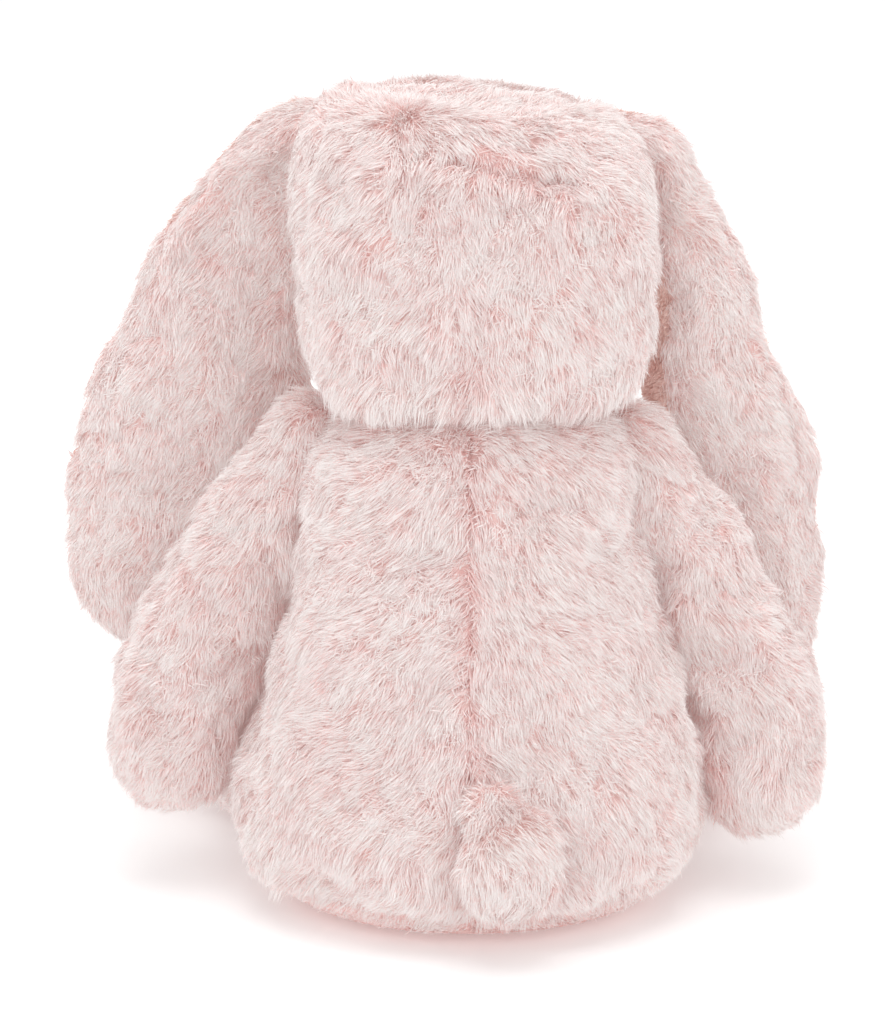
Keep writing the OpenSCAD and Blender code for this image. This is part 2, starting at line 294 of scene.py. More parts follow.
def sow(name, skin, body, comb, pile, per_mm2, seed, shades,
        width=0.25, tuft=26, spread=2.1, gather=0.4, wild=0.16, floor=0.35):
    """Sows tufts of tapered strands on the skin and combs them. pile is their length in mm and how
    far they stand up in degrees. comb(points, normals) gives the way the pile lies, a factor for its
    length, one for how far it stands up, and how much deeper colour goes there, mostly as painted
    shade. A tuft has that many strands within about spread mm, their tips drawn together by gather,
    and its own turn aside of about wild radians. Nothing goes lower than floor."""
    length, lift = pile
    rng = np.random.default_rng(seed)
    corners = skin.points[skin.tris]
    area = np.linalg.norm(np.cross(corners[:, 1] - corners[:, 0], corners[:, 2] - corners[:, 0]),
                          axis=1) / 2
    tufts = max(int(area.sum() * per_mm2 / tuft), 1)
    which = rng.choice(len(area), tufts, p=area / area.sum())
    u, v = rng.random((2, tufts, 1))
    flip = (u + v) > 1
    u, v = np.where(flip, 1 - u, u), np.where(flip, 1 - v, v)
    tri = skin.tris[which]
    at = corners[which, 0] * (1 - u - v) + corners[which, 1] * u + corners[which, 2] * v
    n = unit(skin.normals[tri[:, 0]] * (1 - u - v) + skin.normals[tri[:, 1]] * u
             + skin.normals[tri[:, 2]] * v)
    way, longer, rise, painted_shade = comb(at, n)
    way = unit(way - n * (way * n).sum(1, keepdims=True))
    side = np.cross(n, way)
    veer = 0.38 * ripple(at, 13, seed + 1) + 0.22 * ripple(at, 5, seed + 2)
    veer = (veer + rng.normal(0, wild, tufts))[:, None]
    way, side = way * np.cos(veer) + side * np.sin(veer), side * np.cos(veer) - way * np.sin(veer)
    high = np.radians(lift * rise * (1 + 0.25 * ripple(at, 9, seed + 3)
                                     + rng.normal(0, 0.18, tufts)))[:, None]
    tall = (length * longer * (1 + 0.12 * ripple(at, 20, seed + 4)
                               + rng.normal(0, 0.12, tufts)))[:, None]
    tuft_tip = at + tall * (way * np.cos(high) + n * np.sin(high))
    # random tone plus painted shade: the larger it is, the deeper the colour a tuft gets
    tone_and_painted_shade = 0.8 * ripple(at, 7, seed + 5) + rng.normal(0, 0.5, tufts) + 2.4 * painted_shade

    def each(x):
        return np.repeat(x, tuft, axis=0)

    total = tufts * tuft
    off = rng.normal(0, spread / 1.5, (total, 2))
    shift = off[:, :1] * each(side) + off[:, 1:] * each(way)
    root = each(at) + shift - 0.25 * each(n)
    own_high = each(high) + rng.normal(0, 0.13, (total, 1))
    own_tall = each(tall) * rng.uniform(0.72, 1.08, (total, 1))
    tip = root + own_tall * (each(way) * np.cos(own_high) + each(n) * np.sin(own_high))
    pull = gather * rng.uniform(0.5, 1.3, (total, 1))
    tip = tip + (each(tuft_tip) + 0.3 * shift - tip) * pull
    middle = (root + tip) / 2 + own_tall * 0.11 * each(n)
    tip[:, 2] = np.maximum(tip[:, 2], floor)
    middle[:, 2] = np.maximum(middle[:, 2], floor)
    root[:, 2] = np.maximum(root[:, 2], floor)
    # a strand is a flat ribbon, turned a little about its own length
    flat = unit(np.cross(tip - root, each(n)))
    roll = rng.normal(0, 0.8, (total, 1))
    flat = flat * np.cos(roll) + each(n) * np.sin(roll)
    w = width * rng.uniform(0.7, 1.25, (total, 1)) / 2
    points = np.stack([root - flat * w, root + flat * w, middle - flat * w * 0.85,
                       middle + flat * w * 0.85, tip], axis=1).reshape(-1, 3) * MM
    shade = np.clip(2.6 - each(tone_and_painted_shade[:, None])[:, 0] * 0.75 + rng.normal(0, 0.5, total), 0, 3.99)
    shade = shade.astype(np.int32)
    parts = max(1, math.ceil(total * 3 / MOST_TRIANGLES))
    made = []
    for k, chosen in enumerate(np.array_split(np.arange(total), parts)):
        label = name if parts == 1 else f"{name}_{k + 1}"
        made.append(strand_mesh(label, points, chosen, shade, shades, body))
    return made


def strand_mesh(name, points, chosen, shade, shades, body):
    """One piece of pile: a quad and a triangle a strand, roots in the first shades, tips in the rest."""
    n = len(chosen)
    mesh = bpy.data.meshes.new(name)
    mine = points.reshape(-1, 5, 3)[chosen].reshape(-1, 3)
    mesh.vertices.add(n * 5)
    mesh.vertices.foreach_set("co", mine.astype(np.float32).ravel())
    base = (np.arange(n) * 5)[:, None]
    mesh.loops.add(n * 7)
    mesh.loops.foreach_set("vertex_index",
                           (base + np.array([0, 1, 3, 2, 2, 3, 4])).astype(np.int32).ravel())
    mesh.polygons.add(n * 2)
    start = (np.arange(n) * 7)[:, None] + np.array([0, 4])
    mesh.polygons.foreach_set("loop_start", start.astype(np.int32).ravel())
    roots, tips = shades
    for mat in roots + tips:
        mesh.materials.append(mat)
    index = np.stack([shade[chosen], shade[chosen] + len(roots)], axis=1)
    mesh.polygons.foreach_set("material_index", index.astype(np.int32).ravel())
    mesh.update(calc_edges=True)
    obj = bpy.data.objects.new(name, mesh)
    bpy.context.scene.collection.objects.link(obj)
    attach(obj, body)
    return obj


# ---------------------------------------------------------------- body

BODY_KEYS = [(0, 1.6), (30, 1.5), (50, 1.6), (58, 4), (64.5, 12), (68.2, 24), (67, 42), (63.2, 60),
             (57.5, 88), (52, 110), (49, 126), (47, 138), (42.5, 146.5), (34, 151.5), (16, 153), (0, 153.2)]


def body_skin():
    """The pear of the body, drawn in along its back and side seams and above the base band."""
    points = turned_points(BODY_KEYS, 110, power=2.08)
    skin = Skin(points, 110)
    p = skin.points
    seam = np.exp(-(p[:, 0] / 4.0) ** 2) * (p[:, 1] > 0) * smooth(p[:, 2], 10, 20)
    sides = np.exp(-((p[:, 1] - 2) / 4.0) ** 2) * (np.abs(p[:, 0]) > 20) * smooth(p[:, 2], 12, 20)
    band = np.exp(-((p[:, 2] - 12) / 2.6) ** 2) * (np.hypot(p[:, 0], p[:, 1]) > 40)
    lumps = 1.1 * ripple(p, 34, 11) + 0.5 * ripple(p, 15, 12)
    skin.push(lumps * smooth(p[:, 2], 3, 18) - 2.0 * seam - 1.2 * sides - 1.6 * band)
    skin.points[:, 2] = np.maximum(skin.points[:, 2], 1.4)
    return skin


def comb_body(p, n):
    """Down and outwards from the back seam, down the belly, outwards round the base."""
    side = np.sign(p[:, 0])
    back = smooth(n[:, 1], -0.2, 0.4)
    out = np.where(p[:, 0] > 0, 0.85, 0.40) * back
    out = out * (0.55 + 0.9 * smooth(p[:, 2], 20, 110) * smooth(np.abs(p[:, 0]), 4, 30))
    way = np.stack([side * (out + 0.12), -0.12 * np.ones(len(p)), -0.95 + 0 * out], axis=1)
    under = smooth(10 - p[:, 2], 0, 6)
    away = unit(p * [1, 1, 0])
    way = way * (1 - under)[:, None] + away * under[:, None]
    near_seam = np.exp(-(p[:, 0] / 3.5) ** 2) * back
    longer = 1 - 0.75 * smooth(5.5 - p[:, 2], 0, 3) * smooth(62 - np.hypot(p[:, 0], p[:, 1]), 0, 6)
    longer = longer * (1 - 0.45 * smooth(17 - p[:, 2], 0, 6))
    rise = 1 + 0.35 * near_seam - 0.5 * under
    # painted shade: deeper colours along the back seam, on the flank where the arm lies against it, and
    # under the base rim
    flank = np.exp(-((p[:, 1] - 4) / 14) ** 2) * smooth(p[:, 2], 25, 50)
    painted_shade = near_seam ** 2 * np.clip(0.45 + 0.5 * ripple(p, 26, 17), 0, 1) + 0.3 * flank + 0.6 * under
    return way, longer, rise, painted_shade


# ---------------------------------------------------------------- head

HEAD_KEYS = [(0, 150.5), (20, 150.3), (35, 151.6), (44.5, 158.5), (49.5, 173), (51, 189), (51.2, 206),
             (50.4, 221), (46.8, 232.5), (39, 240.8), (28, 242.3), (10, 241), (0, 241)]
HEAD_MIDDLE = (-1.5, -4)
MUZZLE = np.array([0, -42, 183.0])
NOSE_Z = 190.0
WHORL = np.array([17, 24, 239.0])
EYE_WAYS = [np.array([s * math.sin(math.radians(26)), -math.cos(math.radians(26)), 0])
            for s in (LEFT, RIGHT)]
EYE_MIDDLE, EYE_SEAT = np.array([0, -4, 203.0]), 49.2
EYE_SPOTS = [EYE_MIDDLE + EYE_SEAT * way for way in EYE_WAYS]


def head_skin():
    """A boxy round head, higher on its left, with muzzle, cheeks, seams and flat seats for the eyes."""
    points = turned_points(HEAD_KEYS, 96, power=2.35, middle=HEAD_MIDDLE, depth=0.98)
    skin = Skin(points, 96)
    p = skin.points
    high = smooth(p[:, 2], 200, 242)
    skin.points = p + np.outer(high * (0.1 * p[:, 0] - 2.6), [0, 0, 1])
    p = skin.points
    reach = np.linalg.norm((p - MUZZLE) * [1, 0.8, 1.1], axis=1)
    muzzle = 8.5 * smooth(28 - reach, 0, 24) * (p[:, 1] < -10)
    cheeks = sum(4.0 * np.exp(-(np.linalg.norm(p - [s * 30, -38, 180], axis=1) / 16) ** 2)
                 for s in (LEFT, RIGHT))
    crown = crown_line(p)
    chin = np.exp(-(p[:, 0] / 4) ** 2) * (p[:, 1] < -20) * smooth(178 - p[:, 2], 0, 6)
    lumps = 1.2 * ripple(p, 30, 21) + 0.5 * ripple(p, 14, 22)
    face = (p[:, 1] < -30) * smooth(225 - p[:, 2], 0, 15)
    skin.push(lumps * (1 - 0.7 * face) + muzzle + cheeks - 2.4 * nape_cleft(p) - 3.6 * crown
              - 0.8 * chin)
    for way in EYE_WAYS:
        out = (skin.points - EYE_MIDDLE) @ way
        off = np.linalg.norm(skin.points - EYE_MIDDLE - out[:, None] * way, axis=1)
        seat = smooth(13 - off, 0, 6) * (out > 20) * (EYE_SEAT - out)
        skin.points = skin.points + seat[:, None] * way
    skin.find_normals()
    return skin


def nape_cleft(p):
    """1 along the seam up the nape, and along a short crease to the right of it."""
    seam = np.exp(-((p[:, 0] - 1) / 3.0) ** 2) * smooth(200 - p[:, 2], 0, 25)
    crease = np.exp(-((p[:, 0] + 32) / 2.6) ** 2 - ((p[:, 2] - 189) / 9) ** 2)
    return (p[:, 1] > 0) * np.maximum(seam, 0.7 * crease)


def crown_line(p):
    """1 on the seam that crosses the back of the crown, fading either side of it."""
    across = np.exp(-(above_crown_seam(p) / 2.6) ** 2)
    return across * smooth(p[:, 1], 5, 25) * smooth(22 - np.abs(p[:, 0] + 10), 0, 9)


def above_crown_seam(p):
    """Height over the crown seam, which slopes down to the right."""
    return p[:, 2] - 229.5 - 0.22 * np.clip(p[:, 0], -40, 12)


def comb_head(p, n):
    """Down the back from the crown seam, out from the whorl on top, out from the nose in front."""
    back = smooth(n[:, 1], -0.35, 0.25)
    side = np.where(p[:, 0] > 0, 0.62, 0.25) * np.sign(p[:, 0])
    away = smooth(np.abs(p[:, 0]), 4, 34)
    down = np.stack([side * away + 0.05, -0.1 + 0 * side, -1.0 + 0 * side], axis=1)
    whorl = np.exp(-(np.linalg.norm(p - WHORL, axis=1) / 9) ** 2)
    top = smooth(above_crown_seam(p), 0, 6)
    rear = down * (1 - top)[:, None] + (unit(p - WHORL) + [-0.2, 0, -0.3]) * top[:, None]
    nose = MUZZLE + [0, -8, 8]
    front = unit(p - nose) + np.array([0, 0.25, -0.15])
    front[:, 2] += 0.5 * smooth(p[:, 2], 215, 240)
    rear_share = np.maximum(back, smooth(n[:, 2], 0.5, 0.8) * smooth(p[:, 1], -45, -20))[:, None]
    way = rear * rear_share + front * (1 - rear_share)
    near = np.linalg.norm((p - MUZZLE) * [1, 1, 1.1], axis=1)
    eyes = np.min([np.linalg.norm(p - e, axis=1) for e in EYE_SPOTS], axis=0)
    short = np.minimum(0.34 + 0.66 * smooth(near, 18, 44), 0.22 + 0.78 * smooth(eyes, 5, 22))
    nape = smooth(172 - p[:, 2], 0, 12) * smooth(p[:, 1], 0, 15)
    seam = crown_line(p)
    longer = np.where(p[:, 1] < -5, short, 1) * (1 - 0.2 * whorl - 0.45 * seam) + 0.7 * nape
    rise = 1 + 1.7 * whorl - 0.35 * (1 - short) * (p[:, 1] < -5) - 0.45 * top * (n[:, 2] > 0.3)
    # painted shade: deeper colours in the crown seam, at the whorl and in the nape creases
    painted_shade = 1.1 * seam + 0.3 * whorl + 0.8 * nape_cleft(p)
    return way, longer, rise, painted_shade


# ---------------------------------------------------------------- limbs

ARM_KEYS = {
    LEFT: [(46, -1, 136, 14.5), (59, -3, 117, 16.6), (73, -5, 90, 18.6), (86, -4, 63, 19.3),
           (90, -1, 44, 17.8)],
    RIGHT: [(-46, -1, 134, 14.5), (-57, -2, 116, 16.4), (-71.5, -3, 88, 17.4), (-85, -1, 59, 18.6),
            (-86, 1, 37.5, 18.2)],
}
LEG_KEYS = [(59.5, -43, 21, 17.6), (63.5, -63, 22, 18.8), (73.5, -85, 21.8, 19.8),
            (83.5, -106.5, 22.4, 20.8), (89, -118, 23, 21)]


def arm_skin(side):
    """A stuffed arm, drawn in along the seam round it."""
    points = tube_points(ARM_KEYS[side], 72, flat=0.94)
    skin = Skin(points, 72)
    p = skin.points
    seam = np.exp(-((p[:, 1] - 2) / 2.4) ** 2)
    skin.push(0.8 * ripple(p, 22, 31 + side) + 0.3 * ripple(p, 10, 41 + side) - 0.9 * seam)
    return skin


def comb_arm(side):
    """Down the arm and outwards, with painted shade as deeper colours on the side next to the body."""
    keys = np.array(ARM_KEYS[side], float)[:, :3]

    def comb(p, n):
        down = unit(keys[-1] - keys[0]) + np.array([0, 0, -0.1])
        way = np.tile(down, (len(p), 1))
        way[:, 0] += 0.35 * side * smooth(n[:, 0] * side, -0.2, 0.8)
        tip = smooth(36 - p[:, 2], 0, 16)
        inner = smooth(-n[:, 0] * side, 0.2, 0.9)
        return way, 1 - 0.15 * tip, 1 + 0 * tip, 0.6 * inner
    return comb


def leg_skin(side):
    """A stuffed leg lying forwards, flattened at the sole and where it rests."""
    keys = np.array(LEG_KEYS, float) * [side, 1, 1, 1]
    points = tube_points(keys, 72)
    skin = Skin(points, 72)
    p = skin.points
    along = leg_distance(p, side)
    skin.points = p - np.maximum(along - SOLE_AT, 0)[:, None] * 0.82 * leg_way(side)
    p = skin.points
    skin.find_normals()
    seam = np.exp(-((p[:, 2] - 20) / 2.4) ** 2) * smooth(78 - leg_distance(p, side), 0, 5)
    skin.push(0.7 * ripple(p, 22, 51 + side) + 0.3 * ripple(p, 10, 61 + side) - 0.8 * seam)
    skin.points[:, 2] = np.maximum(skin.points[:, 2], 2.2)
    return skin


def leg_way(side):
    """The way a leg points."""
    splay = math.radians(LEG_SPLAY)
    return np.array([side * math.sin(splay), -math.cos(splay), 0])


def leg_distance(p, side):
    """How far along the leg from the hip a point is."""
    return (p - [side * HIP[0], HIP[1], HIP[2]]) @ leg_way(side)


def comb_leg(side):
    """Along the leg to the foot, shorter and flatter underneath."""
    def comb(p, n):
        way = np.tile(leg_way(side) + np.array([0, 0, -0.45]), (len(p), 1))
        low = smooth(8 - p[:, 2], 0, 5)
        foot = smooth(leg_distance(p, side), 66, 84)
        # painted shade: deeper colours all over the leg, and more underneath near the floor
        return way, (1 - 0.5 * low) * (1 - 0.3 * foot), 1 - 0.4 * low, 0.15 + 0.4 * low
    return comb


# ---------------------------------------------------------------- tail

def tail_skin():
    """A flattish pompom of a tail, just right of the back seam."""
    keys = [(-5.5, 69, 46, 6.5), (-8.5, 73, 40, 10.5), (-10.5, 74.5, 33.5, 13), (-11, 74, 29, 12.5)]
    skin = Skin(tube_points(keys, 40, flat=0.62), 40)
    skin.push(0.5 * ripple(skin.points, 9, 71))
    return skin


def comb_tail(p, n):
    """Out from the sewn end and down, with painted shade as deeper colours where it meets the body, and
    paler on its back.
    """
    way = unit(p - [-9.5, 66, 44]) + np.array([0, 0.3, -0.9])
    edge = 1 - smooth(n[:, 1], 0, 0.5)
    return way, np.ones(len(p)), np.ones(len(p)), 0.7 * edge - 0.5


# ---------------------------------------------------------------- ears

# stations from root to tip: the inner edge and the outer edge, each [sideways, height]
EAR_STATIONS = {
    LEFT: [((36, 218), (41, 235)), ((43, 211), (57, 232)), ((49.5, 197), (75, 217)),
           ((51.5, 178), (94.5, 190)), ((50.5, 158), (108, 163)), ((51, 138), (117, 141)),
           ((55, 118), (122, 117)), ((64, 100), (122.5, 95)), ((75, 84), (118.5, 79)),
           ((87, 73.5), (110, 70)), ((96, 69), (102, 67.5))],
    RIGHT: [((-36, 216), (-43, 231)), ((-44, 209), (-60, 226)), ((-51, 196), (-71.5, 208)),
            ((-54.5, 176), (-84, 181)), ((-54.5, 156), (-93.5, 154)), ((-56, 135), (-103, 129)),
            ((-60, 116), (-107.5, 105)), ((-67, 98), (-108, 84)), ((-76, 80), (-105.5, 67)),
            ((-86, 64), (-101, 57)), ((-93, 57), (-96, 55.5))],
}
EAR_ROWS, EAR_ROUND = 84, 60


def ear_skin(side):
    """A thin closed lens from root to tip. Its first half round is the furry back."""
    stations = np.array(EAR_STATIONS[side], float)
    inner, outer = curve(stations[:, 0], EAR_ROWS), curve(stations[:, 1], EAR_ROWS)
    s = np.linspace(0, 1, EAR_ROWS)
    turn = np.linspace(0, 2 * math.pi, EAR_ROUND, endpoint=False)
    across = (1 - np.cos(turn)) / 2
    bulge = np.sin(turn)
    xz = inner[:, None] * (1 - across)[None, :, None] + outer[:, None] * across[None, :, None]
    half = 5.2 - 1.0 * smooth(s, 0.8, 1.0)
    cup = 5.0 if side == LEFT else 7.0
    middle = -38 + cup * smooth(s, 0.05, 0.4)[:, None] * (np.sin(across * math.pi) - 0.6)
    middle = middle - 3.5 * smooth(s, 0.3, 1.0)[:, None]
    folds = 2.6 * np.cos(across * 3 * math.pi) * (1 - smooth(s, 0.04, 0.30))[:, None]
    y = middle + folds + half[:, None] * np.sign(bulge) * np.abs(bulge) ** 0.7
    if side == RIGHT:
        y = y + 9.0 * smooth(s, 0.08, 0.5)[:, None] * (0.75 - across)[None, :]
    rings = np.stack([xz[..., 0], y, xz[..., 1]], axis=2)
    points = np.concatenate([rings.reshape(-1, 3), [rings[0].mean(0)], [rings[-1].mean(0)]])
    skin = Skin(points, EAR_ROWS, EAR_ROUND)
    skin.push(0.5 * ripple(skin.points, 24, 81 + side))
    return skin


def comb_ear(side):
    """Out from the gathered root, then down the ear, turning in at its tip."""
    def comb(p, n):
        down = np.array([side * 0.42, 0, -1.0])
        way = np.tile(down, (len(p), 1))
        root = 1 - smooth(np.linalg.norm(p - [side * 44, -38, 224], axis=1), 20, 60)
        way = way + root[:, None] * unit(p - [side * 36, -38, 232])
        tip = smooth(90 - p[:, 2], 0, 22)
        way[:, 0] -= side * 0.35 * tip * smooth(p[:, 0] * side, 80, 110)
        # the last value: random deeper patches, painted shade where the ear is gathered at its root, and a
        # shift paler everywhere
        patches = smooth(ripple(p, 46, 95), 0.4, 1.2)
        return way, 0.95 - 0.15 * root, 0.75 + 0 * tip, 0.12 * patches + 0.1 * root - 0.15
    return comb


def comb_nap(p, n):
    """Down everywhere, with no painted shade."""
    return np.tile([0.1, 0, -1.0], (len(p), 1)), np.ones(len(p)), np.ones(len(p)), np.zeros(len(p))


# ---------------------------------------------------------------- threads

def threads(name, lines, ups, radius, body, node):
    """Six-sided threads along the lines of points, in place of a CAD stitch node."""
    verts, faces, start = [], [], 0
    for line, up in zip(lines, ups):
        way = unit(np.gradient(line, axis=0))
        side = unit(np.cross(way, up))
        up = np.cross(side, way)
        turn = np.arange(6) * math.pi / 3
        rings = (line[:, None] + radius * (np.cos(turn)[None, :, None] * side[:, None]
                                           + np.sin(turn)[None, :, None] * up[:, None]))
        verts.append(rings.reshape(-1, 3))
        n = len(line)
        for r in range(n - 1):
            for k in range(6):
                j, a = (k + 1) % 6, start + r * 6
                faces.append((a + k, a + 6 + k, a + 6 + j, a + j))
        faces.append(tuple(start + k for k in range(6)))
        faces.append(tuple(start + (n - 1) * 6 + k for k in reversed(range(6))))
        start += n * 6
    obj = new_object(name, np.concatenate(verts) * MM, faces, [THREAD])
    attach(obj, body)
    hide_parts(node)


def face_threads(name, runs, radius, proud, skin, node):
    """Stitches laid on the front of the head. Each run is a line of [sideways, height] points."""
    tree = BVHTree.FromPolygons(skin.points.tolist(), skin.tris.tolist())
    lines, ups = [], []
    for run in runs:
        hits = [tree.ray_cast(Vector((x, -90, z)), Vector((0, 1, 0))) for x, z in run]
        up = np.array([-h[1] if h[1][1] > 0 else h[1] for h in hits])
        lines.append(np.array([h[0] for h in hits]) + proud * up)
        ups.append(up)
    threads(name, lines, ups, radius, "head", node)


def nose_runs():
    """Satin stitch: upright threads side by side that fill a rounded triangle."""
    runs = []
    for x in np.arange(-7.0, 7.1, 0.7):
        low = -4.0 + 7.4 * (abs(x) / 7.0) ** 1.3
        high = 5.2 - 1.4 * (abs(x) / 7.0) ** 4
        runs.append([(x, NOSE_Z + h) for h in np.linspace(low, high, 9)])
    return runs


def mouth_runs():
    """A thread down from the nose and a curved one to each side, each laid twice."""
    runs = []
    for shift in (-0.4, 0.4):
        runs.append([(shift, h) for h in np.linspace(NOSE_Z - 3.4, NOSE_Z - 11, 10)])
        for side in (LEFT, RIGHT):
            t = np.linspace(0, 1, 14)
            runs.append([(side * (0.3 + 8.5 * u), NOSE_Z - 11 - 3.4 * math.sin(u * 2.5) + shift)
                         for u in t])
    return runs


def neck_stitches():
    """A ring of slanting ladder stitches between the neck and the head."""
    lines, ups = [], []
    t = np.linspace(0, 1, 6)[:, None]
    for a in np.linspace(0, 2 * math.pi, 44, endpoint=False):
        b = a + 0.08
        low = np.array([21.4 * math.cos(a), 21.4 * math.sin(a), 148.8])
        high = np.array([18.6 * math.cos(b), 18.6 * math.sin(b), 152.6])
        out = unit(np.array([math.cos(a), math.sin(a), 0.7]))
        lines.append(low * (1 - t) + high * t + out * 0.9 * np.sin(t * math.pi))
        ups.append(np.tile(out, (6, 1)))
    threads("neck_stitches", lines, ups, 0.55, "neck", "neck_seam")


# ---------------------------------------------------------------- fillings

def soft_piece(name, points, faces, material, body, node):
    """A filling, from points in mm, in place of its CAD node."""
    obj = new_object(name, points * MM, faces, [material])
    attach(obj, body)
    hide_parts(node)


def fibre(name, skin, body, node, inset=2.8, cavity=None):
    """Stuffing that follows the inside of a closed skin, with a hollow where one is given."""
    points = skin.points - skin.normals * (inset + 0.6 * ripple(skin.points, 8, 92))[:, None]
    faces = list(skin.faces)
    if cavity is not None:
        faces += [tuple(i + len(points) for i in reversed(f)) for f in cavity.faces]
        points = np.concatenate([points, cavity.points])
    soft_piece(name, points, faces, FIBRE_FILL, body, node)


def pouch_skin(grow):
    """The low round bag of beans, grown outwards by grow mm."""
    keys = [(0, 10.4), (28, 9.6), (40, 12.4), (44.2, 20), (41, 28.5), (28, 32), (0, 32.6)]
    skin = Skin(turned_points(keys, 60), 60)
    skin.push(0.5 * ripple(skin.points, 8, 93) + grow)
    return skin


def bean_heap():
    """Small smooth beans heaped inside the pouch."""
    rng = np.random.default_rng(7)
    rows, around = 5, 8
    polar = np.linspace(0, math.pi, rows + 2)[1:-1]
    turn = np.linspace(0, 2 * math.pi, around, endpoint=False)
    ball = np.array([(math.sin(a) * math.cos(b), math.sin(a) * math.sin(b), math.cos(a))
                     for a in polar for b in turn] + [(0, 0, 1), (0, 0, -1)])
    shell = Skin(ball, rows, around)
    verts, faces = [], []
    for layer, z in enumerate(np.arange(14, 29.5, 3.4)):
        reach = 38 - abs(z - 21) * 0.5
        for x in np.arange(-reach, reach, 4.4):
            for y in np.arange(-reach, reach, 4.4):
                spot = np.array([x, y, z]) + (layer % 2) * 2.0 + rng.uniform(-0.4, 0.4, 3)
                if math.hypot(spot[0], spot[1]) > reach:
                    continue
                start = len(verts) * len(ball)
                verts.append(shell.points * rng.permutation([2.0, 1.8, 1.6]) + spot)
                faces += [tuple(start + i for i in f) for f in shell.faces]
    obj = new_object("bean_heap", np.concatenate(verts) * MM, faces, [BEAN_PLASTIC])
    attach(obj, "body")
    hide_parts("bean_fill")


# ---------------------------------------------------------------- stuffing pressure

# each test says which points of a skin are held while it is blown up

def seams_of_body(p):
    back = (np.abs(p[:, 0]) < 3) & (p[:, 1] > 0)
    sides = np.abs(p[:, 1] - 2) < 3
    return back | sides | (p[:, 2] < 13) | (p[:, 2] > 142)


def seams_of_head(p):
    middle = np.abs(p[:, 0]) < 2.5
    return middle | (np.abs(p[:, 1] + 4) < 3) | (p[:, 2] < 160) | (crown_line(p) > 0.4) | (
        np.min([np.linalg.norm(p - e, axis=1) for e in EYE_SPOTS], axis=0) < 9)


def seams_of_arm(p):
    return (np.abs(p[:, 1]) < 3.5) | (p[:, 2] > 128)


def seams_of_leg(side):
    return lambda p: (np.abs(p[:, 2] - 21) < 3) | (leg_distance(p, side) > 80) | (
        leg_distance(p, side) < 8) | (p[:, 2] < 5)


def seams_of_ear(p):
    return np.abs(p[:, 1] + 38) < 2.2


def grid(values, skin):
    """Values at the skin's points as rows and columns, without the two poles."""
    return values[:skin.rows * skin.around].reshape(skin.rows, skin.around, -1)


def plump(skins, limit=3.0):
    """Blows the stuffed skins up with cloth pressure while their seams are held. The cloth is a
    coarser copy of each skin, and what it moved is spread back over the fine one."""
    verts, faces, held, counts = [], [], [], []
    for skin, seams in skins:
        rows, around = (skin.rows + 1) // 2, skin.around // 2
        coarse = grid(skin.points, skin)[::2, ::2].reshape(-1, 3)
        coarse = np.concatenate([coarse, skin.points[-2:]])
        start = sum(counts)
        faces += [tuple(i + start for i in f) for f in Skin(coarse, rows, around).faces]
        held += [start + int(i) for i in np.nonzero(seams(coarse))[0]]
        verts.append(coarse)
        counts.append(len(coarse))
    before = np.concatenate(verts)
    cloth = new_object("cloth_work", before * MM, faces, [])
    group = cloth.vertex_groups.new(name="seams")
    group.add(held, 1.0, "REPLACE")
    work = cloth.modifiers.new("cloth", "CLOTH")
    work.settings.vertex_group_mass = "seams"
    work.settings.use_pressure = True
    work.settings.uniform_pressure_force = 4
    work.settings.shrink_min = -0.035
    work.settings.effector_weights.gravity = 0
    work.settings.quality = 4
    work.settings.mass = 0.2
    scene = bpy.context.scene
    for f in range(1, 21):
        scene.frame_set(f)
    shown = cloth.evaluated_get(bpy.context.evaluated_depsgraph_get())
    after = np.array([v.co[:] for v in shown.data.vertices]) / MM
    bpy.data.objects.remove(cloth)
    scene.frame_set(1)
    moved, start = after - before, 0
    for (skin, _), count in zip(skins, counts):
        own = moved[start:start + count - 2]
        start += count
        spread_back(skin, own, limit)


def spread_back(skin, moved, limit):
    """Adds the coarse cloth's moves to the skin, less their average, so it keeps its size."""
    rows, around = (skin.rows + 1) // 2, skin.around // 2
    coarse = moved.reshape(rows, around, 3)
    r = np.minimum(np.arange(skin.rows) / 2, rows - 1)
    c = np.arange(skin.around) / 2
    r0, c0 = r.astype(int), c.astype(int)
    r1, c1 = np.minimum(r0 + 1, rows - 1), (c0 + 1) % around
    u, v = (r - r0)[:, None, None], (c - c0)[None, :, None]
    fine = ((coarse[r0][:, c0] * (1 - v) + coarse[r0][:, c1] * v) * (1 - u)
            + (coarse[r1][:, c0] * (1 - v) + coarse[r1][:, c1] * v) * u).reshape(-1, 3)
    normals = skin.normals[:len(fine)]
    out = (fine * normals).sum(1)
    out = np.clip(out - out.mean(), -limit, limit)
    skin.points[:len(fine)] += normals * out[:, None]
    skin.find_normals()


# ---------------------------------------------------------------- panels and pile

PILE = (ROOTS, TIPS)
# each part's pile: its length in mm, and how far it stands up from the cloth in degrees
PILE_OF = {"body": (6.6, 22), "base": (4.6, 20), "head": (6.4, 23), "arm": (6.2, 22),
           "leg": (6.0, 22), "ear": (6.2, 21), "tail": (7.0, 28)}
NAP_OF_LINING = (2.0, 38)
# strands on a square millimetre
DENSE = 5.0


def dress(skin, panels, body, comb, pile, seed):
    """Cuts the skin into its panels, makes each of cloth and sows its pile."""
    for k, (node, wanted) in enumerate(panels.items()):
        panel = skin.part(wanted)
        cloth_panel(f"{node}_cloth", panel, body, node, PLUSH_CLOTH)
        fur(node, panel, body, comb, pile, seed + 10 * k)


